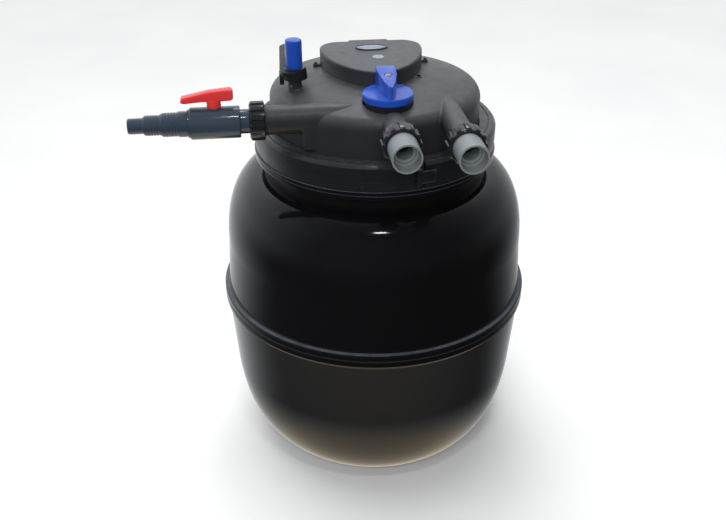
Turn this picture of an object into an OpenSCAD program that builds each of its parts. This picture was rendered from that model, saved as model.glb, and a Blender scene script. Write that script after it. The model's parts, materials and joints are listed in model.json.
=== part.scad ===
// Pressurized pond filter: a two-part black tank with a clamped filter head on its neck.
// The head carries the selector valve, three hose ports, a UV unit and a cleaning crank
// that turns the foam carrier inside the tank. Millimetres, +Z up, the origin at the centre
// of the base, ports towards -Y, inlet ball valve towards -X.

/* [Tank] */
// Largest radius of the tank wall, at the shoulder of the lower shell
tank_r = 266; // [250:1:280]
// Radius of the flat base
base_r = 167; // [150:1:180]
// Height at which the rounded bottom becomes the straight wall
bowl_h = 173.5; // [150:0.5:190]
// Height of the joint between the two shells
belt_z = 313.5; // [300:0.5:330]
// Radius of the belt round the joint
belt_r = 280; // [278:0.5:290]
// Wall thickness of the tank
wall = 5; // [4:0.5:6]

/* [Head] */
// Radius of the head's side wall
head_r = 179; // [177:0.5:180]
// Height of the top of the dome
dome_z = 714; // [713:0.5:715]
// Wall thickness of the head
head_wall = 5; // [4:0.5:6]
// Outer radius of the clamp ring
clamp_r = 208; // [207:0.5:212]

/* [Ports] */
// Height of the pipe axes
port_z = 683; // [681:0.5:685]
// Distance of the inlet pipe's axis in front of the centre
pipe_y = 118.5; // [116:0.5:121]
// Inner radius of the grey hose sockets
socket_bore_r = 20; // [18:0.5:20.5]
// Position of the left port across the head
port_left_x = 8; // [4:0.5:12]
// Position of the right port across the head
port_right_x = 103; // [98:0.5:106]

/* [Selector valve] */
// Radius of the blue selector disc
knob_r = 40.6; // [38:0.2:41]
// Height of the top of the selector disc
knob_z = 722; // [721:0.5:724]

/* [UV cover] */
// Half the width of the UV cover
cover_w = 88; // [84:1:90]
// Height of the top of the UV cover
cover_z = 740; // [738:0.5:744]

/* [Cleaning crank] */
// Teeth on the crank's pinion
pinion_teeth = 16; // [14:1:18]
// Teeth on the foam carrier's gear
carrier_teeth = 78; // [76:1:80]

/* [Hidden] */

$fn = 96;
eps = 0.01;
fit = 0.3;

// Tank profile
shoulder_z = 416;
neck_r = 195;
neck_z = 546.5;
neck_wall = 6;
shoulder_power = 2.22;
lip_r = 207;
mouth_r = 200.5;
mouth_z = 608;
floor_z = 6;

// Clamp ring
clamp_low = 590;
clamp_high = 634;
latch_turn = -75.6;
latch_w = 30;
latch_pin_t = -11;

// Head profile
edge_r = 22;
edge_turn = 70;
head_foot_z = 629;
crank_x = -137;
crank_y = -33;
crank_base_z = 719.5;
crank_pin_turn = -117;
crank_pin_z = 709.5;
crank_shaft_r = 7;
grip_r = 14.3;
collar_in = 59.5;
collar_out = 64.5;

// Pipes
pipe_r = 23;
pipe_bore_r = 17.5;
thread_r = 24.6;
stub_r = 20.5;
stub_bore_r = 15.2;
nut_r = 30;
inlet_nut_len = 24.4;
port_nut_len = 33;
nut_bore_r = 24.95;
nut_ribs = 12;
tail_gap = 0.2;

// Selector valve
valve_x = 4.5;
valve_y = -119.5;
chamber_r = 33;
housing_r = 38;
bonnet_r = 38.5;
spindle_r = 8;
disc_h = 12.1;
bonnet_z = 699;
chamber_z = 652.5;
grip_h = 31.5;

// Port positions along Y: where the right duct ends, nut centres and socket mouths
duct_end_y = -100;
left_nut_y = -232;
left_mouth_y = -293;
right_nut_y = -246.5;
right_mouth_y = -306;
socket_r = 23;
socket_depth = 22;
step_depth = 27;
inlet_nut_x = -201.8;

// Ball valve
ball_x = -267;
ball_r = 19;
ball_bore_r = 13;
valve_r = 25;

// Foam carrier
sleeve_r = 21;
sleeve_low_z = 205;
seal_z = 708;
tube_r = 58;
carrier_bore_r = tube_r + 0.5;
grid_r = 181;
foam_r = 180;
rod_ring_r = 125;
rod_r = 4;
low_grid_z = 112;
high_grid_z = 558;
grid_h = 8;
foam_count = 6;
gear_z = 582;
gear_h = 10;
gear_distance = norm([crank_x, crank_y]);
gear_module = 2 * gear_distance / (pinion_teeth + carrier_teeth);
gear_turn = atan2(crank_y, crank_x);

// Places of the three screws that hold the UV cover
screw_places = [[96, 56], [-96, 56], [70, -30]];
ear_z = 713.4;

// The UV unit's indicator lens
lens_x = 5;
lens_y = -2;
lens_r = 10;

black = [0.08, 0.08, 0.09];
head_grey = [0.2, 0.21, 0.22];
blue = [0.15, 0.28, 0.7];
socket_grey = [0.55, 0.57, 0.58];
slate = [0.25, 0.28, 0.35];
steel = [0.75, 0.76, 0.78];

// A quarter ellipse from the flat base out to the wall
function bowl(r0, r1, z0, z1, steps) =
    [for (i = [0:steps]) let (a = 90 * i / steps)
        [r0 + (r1 - r0) * sin(a), z0 + (z1 - z0) * (1 - cos(a))]];

// A superellipse from the wall up and in to the neck
function shoulder(r0, r1, z0, z1, steps) =
    [for (i = [0:steps]) let (a = 90 * i / steps)
        [r1 + (r0 - r1) * pow(cos(a), 2 / shoulder_power),
         z0 + (z1 - z0) * pow(sin(a), 2 / shoulder_power)]];

// The head's edge and dome, seen as a profile from the wall to the centre, moved in by t
function head_edge_at(a, t) =
    [head_r - edge_r + (edge_r - t) * cos(a), head_foot_z + 47 + (edge_r - t) * sin(a)];
function dome_height(r, t) =
    let (last = head_edge_at(edge_turn, t))
        dome_z - t + (last[1] - dome_z + t) * pow(r / last[0], 3);
function head_top(t) = concat(
    [for (i = [0:5]) head_edge_at(edge_turn * i / 5, t)],
    [for (i = [1:7]) let (r = head_edge_at(edge_turn, t)[0] * (1 - i / 7)) [r, dome_height(r, t)]]);

// Outline of the UV cover: a rounded shield, moved in by t
function cover_front(t, side) =
    [for (i = [0:18]) let (a = side > 0 ? 5 * i : 90 - 5 * i)
        [side * (cover_w - t) * pow(cos(a), 1.11), 59 - (134 - t) * pow(sin(a), 1.11)]];
function cover_corner(t, side) =
    [for (i = [0:8]) let (a = 90 * (side > 0 ? 8 - i : i) / 8)
        [side * (cover_w - 34 + (34 - t) * cos(a)), 60 + (34 - t) * sin(a)]];
function cover_outline(t) = concat(cover_corner(t, 1), cover_front(t, 1),
    cover_front(t, -1), cover_corner(t, -1),
    [[-37, 94 - t], [-33 + t / 2, 101 - t], [33 - t / 2, 101 - t], [37, 94 - t]]);

// Outline of a gear with straight-flanked teeth, the first tooth centred on +X
function gear_outline(teeth) =
    let (pitch = gear_module * teeth / 2, tip = pitch + 0.8 * gear_module,
         root = pitch - 1.15 * gear_module, step = 360 / teeth)
    [for (i = [0:teeth - 1], p = [[root, -0.3], [tip, -0.13], [tip, 0.13], [root, 0.3]])
        p[0] * [cos((i + p[1]) * step), sin((i + p[1]) * step)]];

module ring(r_out, r_in, h) {
    difference() {
        cylinder(r = r_out, h = h);
        translate([0, 0, -eps]) cylinder(r = r_in, h = h + 2 * eps);
    }
}

// A tube or rod along X from x0 to x1, centred on the inlet pipe's axis
module along_x(r, x0, x1) {
    translate([x0, -pipe_y, port_z]) rotate([0, 90, 0]) cylinder(r = r, h = x1 - x0);
}

// A rod along -Y from y0 (nearer the centre) to y1, at the given x
module along_y(r, x, y0, y1) {
    translate([x, y0, port_z]) rotate([90, 0, 0]) cylinder(r = r, h = y0 - y1);
}

module torus(ring_r, section_r) {
    rotate_extrude() translate([ring_r, 0]) circle(r = section_r, $fn = 24);
}

// Copies its children round the Z axis
module around(count, turn = 0) {
    for (i = [0:count - 1]) rotate([0, 0, turn + 360 * i / count]) children();
}

module tank_lower_shell() {
    color(black) rotate_extrude() polygon(concat(
        [[0, 0]],
        bowl(base_r, tank_r, 0, bowl_h, 18),
        [[274.4, belt_z - 17], [275.6, belt_z - 15.5], [belt_r - 1.6, belt_z - 12.5],
         [belt_r, belt_z - 10], [belt_r, belt_z - 1.4], [belt_r - 1.4, belt_z],
         [tank_r - wall, belt_z], [tank_r - wall, belt_z - 15.5]],
        [for (i = [18:-1:0]) bowl(base_r - 4, tank_r - wall, floor_z, bowl_h, 18)[i]],
        [[0, floor_z]]));
}

module tank_upper_shell() {
    color(black) rotate_extrude() polygon(concat(
        [[tank_r - wall, belt_z], [belt_r - 1.4, belt_z], [belt_r, belt_z + 1.4],
         [belt_r, belt_z + 9], [belt_r - 1.6, belt_z + 12], [273, belt_z + 13.5],
         [271, belt_z + 15.5]],
        shoulder(tank_r, neck_r, shoulder_z, neck_z, 18),
        [[neck_r, 577], [lip_r - 1, 577], [lip_r, 578], [lip_r, 588.2], [lip_r - 1, 589.2],
         [197, 589.2], [197, 594], [mouth_r, 594], [mouth_r, mouth_z],
         [198, mouth_z], [198, mouth_z - 4.2], [191.6, mouth_z - 4.2], [191.6, mouth_z],
         [neck_r - neck_wall, mouth_z]],
        [for (i = [18:-1:0]) shoulder(tank_r - wall, neck_r - neck_wall, shoulder_z, neck_z - 5, 18)[i]]));
}

module neck_seal() {
    color([0.05, 0.05, 0.05]) translate([0, 0, mouth_z - 2.12]) torus(194.8, 2.1);
}

// Places its children on the clamp ring's front: +X outwards, +Y along the ring
module at_latch() {
    rotate([0, 0, latch_turn]) children();
}

module clamp_ring() {
    color(black) difference() {
        union() {
            rotate_extrude() polygon([[198, clamp_low], [clamp_r - 2, clamp_low],
                [clamp_r - 0.7, clamp_low + 2], [clamp_r - 0.7, 605.5], [clamp_r, 606.5],
                [clamp_r, clamp_high - 5], [clamp_r - 4, clamp_high],
                [196.4, clamp_high], [196.4, clamp_high - 1.6], [194.6, clamp_high - 1.6],
                [194.6, clamp_high - 0.3], [180.2, clamp_high - 0.3],
                [180.2, clamp_high - 4.5], [202, clamp_high - 4.5], [202, 593.6], [198, 593.6]]);
            at_latch() {
                translate([clamp_r - 3, latch_pin_t - 4.5, 597]) cube([11, 9, 4]);
                translate([clamp_r - 3, latch_pin_t - 4.5, 623]) cube([11, 9, 4]);
                translate([clamp_r - 3, 6, 606]) cube([5, 7, 12]);
            }
        }
        at_latch() {
            translate([175, -1.5, clamp_low - 1]) cube([clamp_r, 3, 60]);
            translate([clamp_r + 4, latch_pin_t, 590]) cylinder(r = 1.6, h = 44);
        }
    }
}

module latch_pin() {
    color(steel) at_latch() translate([clamp_r + 4, latch_pin_t, 596]) cylinder(r = 1.6, h = 32);
}

module clamp_latch() {
    color(black) at_latch() difference() {
        union() {
            translate([clamp_r + 4, latch_pin_t, 601.4]) cylinder(r = 3.6, h = 21.2);
            translate([clamp_r + 2.6, latch_pin_t, 601.4]) cube([4.2, latch_w - 1, 21.2]);
            translate([clamp_r + 1, latch_w - 13, 604]) cube([3, 2, 16]);
        }
        translate([clamp_r + 4, latch_pin_t, 600]) cylinder(r = 1.65, h = 24);
    }
}

// The solid of revolution under the head's top surface
module dome_solid() {
    rotate_extrude() polygon(concat([[0, 600], [head_r, 600]], head_top(0)));
}

module head_solids() {
    rotate_extrude() polygon(concat(
        [[neck_r - neck_wall, mouth_z], [mouth_r, mouth_z], [mouth_r, head_foot_z - 1.2],
         [head_r, head_foot_z]],
        head_top(0),
        [for (i = [12:-1:0]) head_top(head_wall)[i]],
        [[head_r - head_wall, mouth_z + 12]]));
    along_x(pipe_r, inlet_nut_x + 12, valve_x - 20);
    along_x(thread_r, inlet_nut_x - 1.5, inlet_nut_x + 12.5);
    translate([-131, -141, 637]) cube([24, 24, port_z - 637]);
    translate([valve_x, valve_y, 648]) cylinder(r = housing_r, h = 51);
    along_y(stub_r, port_left_x, valve_y - 20, left_nut_y + 12);
    along_y(thread_r, port_left_x, left_nut_y + 12.5, left_nut_y - 1.5);
    along_y(stub_r, port_right_x, duct_end_y + 20, right_nut_y + 12);
    along_y(thread_r, port_right_x, right_nut_y + 12.5, right_nut_y - 1.5);
    // Inner collar round the centre tube, with ducts to the valve and to the right port
    translate([0, 0, 642]) cylinder(r = collar_out, h = 71);
    head_duct(port_right_x, duct_end_y, pipe_r - 4);
    head_duct(valve_x, valve_y, pipe_r - 4);
    // Boss for the crank's shaft
    translate([crank_x, crank_y, 655]) cylinder(r = 11.5, h = crank_base_z - 655);
}

// A round duct from the inner collar to a point on the port axes
module head_duct(x, y, r) {
    translate([0, 0, port_z]) rotate([0, 90, atan2(y, x)]) cylinder(r = r, h = norm([x, y]));
}

module head_bores() {
    along_x(pipe_bore_r, -210, valve_x);
    translate([valve_x, valve_y, chamber_z]) cylinder(r = chamber_r, h = 100);
    translate([valve_x, valve_y, bonnet_z]) cylinder(r = bonnet_r + 0.4, h = 60);
    translate([valve_x, valve_y, knob_z - disc_h - 0.8]) cylinder(r = knob_r + 1.4, h = 60);
    along_y(stub_bore_r, port_left_x, valve_y, left_nut_y - 5);
    along_y(stub_bore_r, port_right_x, duct_end_y + 16, right_nut_y - 5);
    translate([0, 0, 600]) cylinder(r = collar_in, h = 104);
    head_duct(port_right_x, duct_end_y, pipe_bore_r - 3);
    head_duct(valve_x, valve_y, pipe_bore_r - 3);
    translate([valve_x, valve_y, 640]) around(3, 30) translate([18, 0, 0]) cylinder(r = 8, h = 20);
    translate([0, 0, 700]) cylinder(r = sleeve_r + 0.4, h = 30);
    translate([0, 0, seal_z]) cylinder(r = 26.2, h = 30);
    translate([0, 0, seal_z + 4.5]) cylinder(r = 29.3, h = 30);
    for (p = screw_places) translate([p[0], p[1], 695]) cylinder(r = 1.8, h = 40);
    translate([crank_x, crank_y, crank_pin_z]) rotate([0, 90, crank_pin_turn])
        cylinder(r = 2.5, h = 20);
    translate([crank_x, crank_y, 640]) cylinder(r = crank_shaft_r + 0.05, h = 90);
}

module filter_head() {
    color(head_grey) difference() {
        head_solids();
        head_bores();
    }
}

module uv_cover() {
    color(black) difference() {
        union() {
            translate([0, 0, 690]) linear_extrude(cover_z - 690) polygon(cover_outline(0));
            for (p = screw_places) hull() {
                translate([p[0], p[1], 690]) cylinder(r = 4.8, h = ear_z - 690, $fn = 32);
                translate([p[0] * 0.8, p[1], 690]) cylinder(r = 4.8, h = ear_z - 690, $fn = 32);
            }
        }
        translate([0, 0, 680]) linear_extrude(cover_z - 683) polygon(cover_outline(3));
        dome_solid();
        translate([lens_x, lens_y, cover_z - 10]) cylinder(r = lens_r, h = 20);
        for (p = screw_places) translate([p[0], p[1], 680]) cylinder(r = 1.8, h = 40);
        translate([0, 90, 727]) rotate([-90, 0, 0]) cylinder(r = 6, h = 20);
    }
}

module uv_cover_screws() {
    color(steel) for (p = screw_places) translate([p[0], p[1], 0]) difference() {
        union() {
            translate([0, 0, 702]) cylinder(r = 1.8, h = ear_z - 701);
            translate([0, 0, ear_z]) cylinder(r = 2.8, h = 2.4);
        }
        translate([-1.9, -0.4, ear_z + 1.4]) cube([3.8, 0.8, 2]);
        translate([-0.4, -1.9, ear_z + 1.4]) cube([0.8, 3.8, 2]);
    }
}

module cover_badge() {
    color([0.57, 0.62, 0.7]) translate([0, 48, cover_z]) linear_extrude(2.4)
        polygon([for (i = [0:47]) [28 * cos(7.5 * i), 15 * sin(7.5 * i)]]);
}

module indicator_lens() {
    color([0.8, 0.84, 0.85]) translate([lens_x, lens_y, cover_z - 4]) cylinder(r = lens_r, h = 4.6);
}

module cable_gland() {
    color(black) translate([0, 0, 727]) rotate([-90, 0, 0]) difference() {
        union() {
            translate([0, 0, 95]) cylinder(r = 6, h = 8);
            translate([0, 0, 101]) cylinder(r = 10, h = 7, $fn = 6);
            translate([0, 0, 108]) cylinder(r1 = 8, r2 = 6, h = 8);
        }
        translate([0, 0, 90]) cylinder(r = 3.5, h = 40);
    }
}

module ballast() {
    color([0.7, 0.71, 0.7]) translate([-55, 34, 715.5]) cube([110, 38, 20]);
}

module lamp_holder() {
    color([0.85, 0.85, 0.82]) difference() {
        translate([0, 0, 717.7]) cylinder(r = 26, h = 15);
        translate([0, 0, 710]) cylinder(r = 18.6, h = 14);
    }
}

module uv_lamp() {
    color([0.9, 0.92, 0.95]) {
        for (side = [-1, 1]) translate([side * 9.8, 0, 262]) cylinder(r = 8.4, h = 438);
        translate([-9.8, -4, 264]) cube([19.6, 8, 6]);
        translate([0, 0, 699.9]) cylinder(r = 18.4, h = 23.8);
    }
}

module quartz_sleeve() {
    color([0.85, 0.92, 0.95, 0.4]) difference() {
        translate([0, 0, sleeve_low_z]) cylinder(r = sleeve_r, h = 717 - sleeve_low_z);
        translate([0, 0, sleeve_low_z + 3]) cylinder(r = sleeve_r - 1.8, h = 600);
    }
}

module sleeve_seal() {
    color([0.05, 0.05, 0.05]) translate([0, 0, seal_z + 2.4]) torus(23.6, 2.3);
}

module sleeve_nut() {
    color(black) translate([0, 0, seal_z + 4.8]) ring(29, sleeve_r + 0.3, 4.7);
}

module selector_bonnet() {
    color(black) translate([valve_x, valve_y, 0]) difference() {
        union() {
            translate([0, 0, bonnet_z]) cylinder(r = bonnet_r, h = 10.5);
            translate([0, 0, 691]) cylinder(r = chamber_r - 0.4, h = 9);
        }
        translate([0, 0, 680]) cylinder(r = spindle_r + 0.06, h = 60);
        translate([0, 0, 702]) cylinder(r = spindle_r + 4, h = 4);
    }
}

module selector_seal() {
    color([0.05, 0.05, 0.05]) translate([valve_x, valve_y, 704]) torus(spindle_r + 2.05, 1.9);
}

// The selector's T-grip seen from above, its arrow pointing along -Y
module grip_outline() {
    polygon([[-15.5, 39.4], [15.5, 39.4], [14.5, 4], [9.5, -18], [2.5, -36], [0, -37.6],
        [-2.5, -36], [-9.5, -18], [-14.5, 4]]);
}

module selector_knob() {
    color(blue) translate([valve_x, valve_y, 0]) difference() {
        union() {
            translate([0, 0, knob_z - disc_h]) cylinder(r = knob_r, h = disc_h);
            difference() {
                translate([0, 0, knob_z - 1]) linear_extrude(grip_h - 1) grip_outline();
                // Top face falls towards the arrow's tip
                translate([-30, 10, knob_z + grip_h - 2]) rotate([-11, 0, 0])
                    translate([0, -60, 0]) cube([60, 60, 30]);
            }
        }
        translate([0, 0, 700]) cylinder(r = spindle_r, h = 16);
        translate([0, 0, 700]) cylinder(r = 2.5, h = 60);
        translate([0, 0, knob_z + grip_h - 8.5]) cylinder(r = 6.2, h = 20);
    }
}

module selector_rotor() {
    color(socket_grey) translate([valve_x, valve_y, 0]) difference() {
        union() {
            translate([0, 0, chamber_z + 0.5]) cylinder(r = chamber_r - 0.4, h = 37.5);
            translate([0, 0, chamber_z + 1]) cylinder(r = spindle_r, h = 716 - chamber_z - 1);
        }
        translate([0, 0, port_z - 12]) rotate([90, 0, 0]) cylinder(r = 14, h = 50);
        translate([0, 0, port_z - 12]) rotate([0, -90, 0]) cylinder(r = 14, h = 50);
        translate([0, 0, 705]) cylinder(r = 2.5, h = 60);
    }
}

module selector_screw() {
    color(steel) translate([valve_x, valve_y, 0]) difference() {
        union() {
            translate([0, 0, knob_z + grip_h - 8.5]) cylinder(r = 6, h = 4);
            translate([0, 0, 705]) cylinder(r = 2.5, h = knob_z + grip_h - 711.5);
        }
        translate([-4, -0.7, knob_z + grip_h - 6]) cube([8, 1.4, 4]);
        translate([-0.7, -4, knob_z + grip_h - 6]) cube([1.4, 8, 4]);
    }
}

// A grey hose socket that leaves the nut centred on y = nut_y and ends at mouth_y
module socket(x, nut_y, mouth_y) {
    color(socket_grey) difference() {
        union() {
            along_y(thread_r - 0.2, x, nut_y - 3.5, nut_y - 7);
            along_y(socket_r, x, nut_y - 6, mouth_y);
        }
        along_y(socket_bore_r, x, mouth_y + socket_depth, mouth_y - 5);
        along_y(socket_bore_r - 3.5, x, mouth_y + step_depth, mouth_y - 5);
        along_y(socket_bore_r - 7, x, nut_y, mouth_y - 5);
    }
}

module left_socket() {
    socket(port_left_x, left_nut_y, left_mouth_y);
}

module right_socket() {
    socket(port_right_x, right_nut_y, right_mouth_y);
}

// A ribbed union nut, its open end up at z = nut_len and its lip, which holds a part of
// radius tail_r, at z = 0
module union_nut(tail_r, nut_len) {
    color(black) difference() {
        linear_extrude(nut_len) {
            circle(r = nut_r - 0.6);
            for (i = [0:nut_ribs - 1]) rotate(360 * i / nut_ribs)
                translate([nut_r - 3, -2.6]) square([3.8, 5.2]);
        }
        translate([0, 0, -1]) cylinder(r = tail_r + fit, h = nut_len + 2);
        translate([0, 0, nut_len / 2 - 7 - tail_gap]) cylinder(r = nut_bore_r, h = nut_len);
    }
}

module left_union_nut() {
    translate([port_left_x, left_nut_y - port_nut_len / 2, port_z]) rotate([-90, 0, 0])
        union_nut(socket_r, port_nut_len);
}

module right_union_nut() {
    translate([port_right_x, right_nut_y - port_nut_len / 2, port_z]) rotate([-90, 0, 0])
        union_nut(socket_r, port_nut_len);
}

module inlet_union_nut() {
    translate([inlet_nut_x - inlet_nut_len / 2, -pipe_y, port_z]) rotate([0, 90, 0])
        union_nut(valve_r - 6, inlet_nut_len);
}

// Flat rubber rings between the head's pipe ends and the parts that the union nuts hold
module port_seals() {
    color([0.05, 0.05, 0.05]) {
        for (p = [[port_left_x, left_nut_y], [port_right_x, right_nut_y]]) difference() {
            along_y(thread_r - 0.4, p[0], p[1] - 1.5, p[1] - 3.5);
            along_y(stub_bore_r, p[0], p[1], p[1] - 5);
        }
        difference() {
            along_x(thread_r - 0.4, inlet_nut_x - 3.5, inlet_nut_x - 1.5);
            along_x(pipe_bore_r, inlet_nut_x - 5, inlet_nut_x);
        }
    }
}

module ball_valve_body() {
    color(slate) difference() {
        union() {
            along_x(thread_r - 0.2, inlet_nut_x - 7, inlet_nut_x - 3.5);
            along_x(valve_r - 6, -228, inlet_nut_x - 6);
            along_x(valve_r, -306, -227);
            translate([ball_x, -pipe_y, 690]) cylinder(r = 11.5, h = 18.8);
        }
        along_x(ball_bore_r, -300, -190);
        along_x(ball_r + 0.4, -310, -247);
        translate([ball_x, -pipe_y, 690]) cylinder(r = 5.55, h = 30);
    }
}

module ball_seats() {
    color([0.92, 0.92, 0.9]) difference() {
        union() {
            along_x(ball_r + 0.4, ball_x - 20, ball_x - 14.3);
            along_x(ball_r + 0.4, ball_x + 14.3, ball_x + 20);
        }
        along_x(ball_bore_r, ball_x - 40, ball_x + 40);
    }
}

module valve_ball() {
    color([0.9, 0.9, 0.9]) difference() {
        translate([ball_x, -pipe_y, port_z]) sphere(r = ball_r);
        along_x(ball_bore_r - 0.5, ball_x - 40, ball_x + 40);
        translate([ball_x, -pipe_y, port_z + 15]) cylinder(r = 5.5, h = 30);
    }
}

module valve_stem() {
    color(steel) translate([ball_x, -pipe_y, port_z + 15]) cylinder(r = 5.5, h = 30);
}

module valve_lever() {
    color([0.84, 0.3, 0.32]) translate([ball_x, -pipe_y, 0]) difference() {
        union() {
            translate([0, 0, 709.2]) cylinder(r = 11, h = 15);
            translate([0, 8, 0]) rotate([90, 0, 0]) linear_extrude(16) polygon([
                [-50.5, 719], [-49, 726.6], [-34, 729.5], [-8, 735], [24, 738], [28, 737.4],
                [30.5, 734], [30.5, 723], [27, 720.2], [12, 719.5], [-20, 719.5], [-44, 717.5]]);
        }
        translate([0, 0, 700]) cylinder(r = 5.5, h = port_z - 655);
        translate([0, 0, 700]) cylinder(r = 2, h = 60);
        translate([0, 0, 732]) cylinder(r = 4.3, h = 20);
    }
}

module lever_screw() {
    color(steel) translate([ball_x, -pipe_y, 0]) {
        translate([0, 0, port_z + 45]) cylinder(r = 2, h = 4);
        translate([0, 0, 732]) cylinder(r = 4, h = 2);
    }
}

// Hose nozzle with three stepped sizes, plugged into the ball valve
module hose_nozzle() {
    color(slate) difference() {
        translate([0, -pipe_y, port_z]) rotate([0, -90, 0]) rotate_extrude() polygon([
            [0, -ball_x + 20], [ball_r + 0.4, -ball_x + 20], [ball_r + 0.4, 306], [22, 306],
            [22, 309], [20, 310], [20, 323], [19, 323.5], [19, 346], [17, 350.5], [16, 350.5],
            [16, 373], [14, 377], [12.5, 377], [12.5, 398], [11.3, 401], [0, 401]]);
        along_x(9.5, -410, -280);
    }
}

// Places its children on the crank's axis
module at_crank() {
    translate([crank_x, crank_y, 0]) children();
}

module crank_shaft() {
    color(steel) at_crank() translate([0, 0, 578]) cylinder(r = crank_shaft_r, h = 150);
}

module crank_pinion() {
    color([0.85, 0.85, 0.82]) at_crank() difference() {
        union() {
            translate([0, 0, gear_z]) rotate(gear_turn + 180 * (1 + 1 / pinion_teeth))
                linear_extrude(gear_h) polygon(gear_outline(pinion_teeth));
            translate([0, 0, gear_z + gear_h - 1]) cylinder(r = 12, h = 9);
        }
        translate([0, 0, 570]) cylinder(r = crank_shaft_r, h = 40);
    }
}

module crank_handle() {
    color(black) at_crank() difference() {
        union() {
            translate([0, 0, 720]) cylinder(r1 = 21.5, r2 = 18.5, h = 16);
            hull() {
                translate([-5, -2, 728]) cylinder(r = 19.5, h = 8, $fn = 32);
                translate([-5, 51, 748]) cylinder(r = 16.5, h = 10, $fn = 32);
            }
            translate([-25, -9, 712.5]) cube([7.5, 20, 18]);
        }
        translate([0, 0, 736]) cylinder(r = grip_r + 0.1, h = 30);
        translate([0, 0, 700]) cylinder(r = crank_shaft_r, h = 28);
    }
}

module crank_grip() {
    color(blue) at_crank() translate([0, 0, 736]) rotate_extrude() polygon(concat(
        [[0, 0], [grip_r, 0], [grip_r, 46.5]],
        [for (i = [1:4]) [grip_r - 2 + 2 * cos(22.5 * i), 46.5 + 2 * sin(22.5 * i)]],
        [[7, 49.6], [0, 50]]));
}

module crank_screw() {
    color(steel) at_crank() translate([0, 0, crank_pin_z]) rotate([0, 90, crank_pin_turn])
        translate([0, 0, crank_shaft_r + 0.2]) cylinder(r = 2.5, h = 5.4);
}

module center_tube() {
    color([0.3, 0.31, 0.33]) difference() {
        union() {
            translate([0, 0, 12]) cylinder(r = tube_r, h = 648);
            translate([0, 0, low_grid_z - 8]) cylinder(r = 70, h = 7.7);
        }
        translate([0, 0, 0]) cylinder(r = tube_r - 4, h = 700);
        around(8) translate([40, -7, 48]) cube([30, 14, 44]);
    }
}

module tube_socket() {
    color(black) translate([0, 0, floor_z]) ring(tube_r + 7, tube_r + 0.3, 30);
}

module carrier_gear() {
    color([0.85, 0.85, 0.82]) difference() {
        union() {
            translate([0, 0, gear_z]) rotate(gear_turn) linear_extrude(gear_h)
                polygon(gear_outline(carrier_teeth));
            translate([0, 0, high_grid_z + grid_h]) cylinder(r = 98, h = 17);
        }
        translate([0, 0, 500]) cylinder(r = 91, h = 200);
    }
}

// A slotted plate of the foam carrier, with its lower face at z
module grid_plate(z) {
    color([0.3, 0.31, 0.33]) difference() {
        translate([0, 0, z]) ring(grid_r, carrier_bore_r, grid_h);
        around(24, 7.5) translate([70, -4, z - 1]) cube([42, 8, grid_h + 2]);
        around(24, 7.5) translate([136, -7, z - 1]) cube([36, 14, grid_h + 2]);
        around(6, 0) translate([rod_ring_r, 0, z - 1]) cylinder(r = rod_r, h = grid_h + 2);
    }
}

module top_grid() {
    grid_plate(high_grid_z);
}

module bottom_grid() {
    grid_plate(low_grid_z);
}

module tie_rods() {
    color(steel) around(6) translate([rod_ring_r, 0, 0]) {
        translate([0, 0, low_grid_z]) cylinder(r = rod_r, h = high_grid_z - low_grid_z + grid_h + 1);
        translate([0, 0, high_grid_z + grid_h]) cylinder(r = 7, h = 5);
    }
}

// One of the stacked foam rings, counted from the bottom
module foam_disc(number) {
    pitch = (high_grid_z - low_grid_z - grid_h) / foam_count;
    z = low_grid_z + grid_h + pitch * (number - 1);
    color(number % 2 == 1 ? [0.12, 0.2, 0.4] : [0.1, 0.1, 0.1]) difference() {
        translate([0, 0, z]) ring(foam_r, tube_r + 2, pitch - 0.2);
        around(6) translate([rod_ring_r, 0, z - 1]) cylinder(r = rod_r + 0.2, h = pitch + 2);
    }
}

module bio_balls() {
    color([0.15, 0.2, 0.3]) for (p = [[85.5, 12], [124.5, 18], [163.5, 24]])
        around(p[1]) translate([p[0], 0, floor_z + 19.3]) sphere(r = 19);
}

tank_lower_shell();
tank_upper_shell();
neck_seal();
clamp_ring();
clamp_latch();
latch_pin();
filter_head();
uv_cover();
uv_cover_screws();
cover_badge();
indicator_lens();
cable_gland();
ballast();
lamp_holder();
uv_lamp();
quartz_sleeve();
sleeve_seal();
sleeve_nut();
selector_bonnet();
selector_seal();
selector_knob();
selector_rotor();
selector_screw();
left_socket();
left_union_nut();
right_socket();
right_union_nut();
port_seals();
inlet_union_nut();
ball_valve_body();
ball_seats();
valve_ball();
valve_stem();
valve_lever();
lever_screw();
hose_nozzle();
crank_shaft();
crank_handle();
crank_grip();
crank_screw();
crank_pinion();
center_tube();
tube_socket();
carrier_gear();
top_grid();
bottom_grid();
tie_rods();
foam_disc(1);  // foam_disc_1
foam_disc(2);  // foam_disc_2
foam_disc(3);  // foam_disc_3
foam_disc(4);  // foam_disc_4
foam_disc(5);  // foam_disc_5
foam_disc(6);  // foam_disc_6
bio_balls();
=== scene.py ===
import json
import math
import bmesh
import bpy
from mathutils import Matrix, Vector, noise


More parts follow.
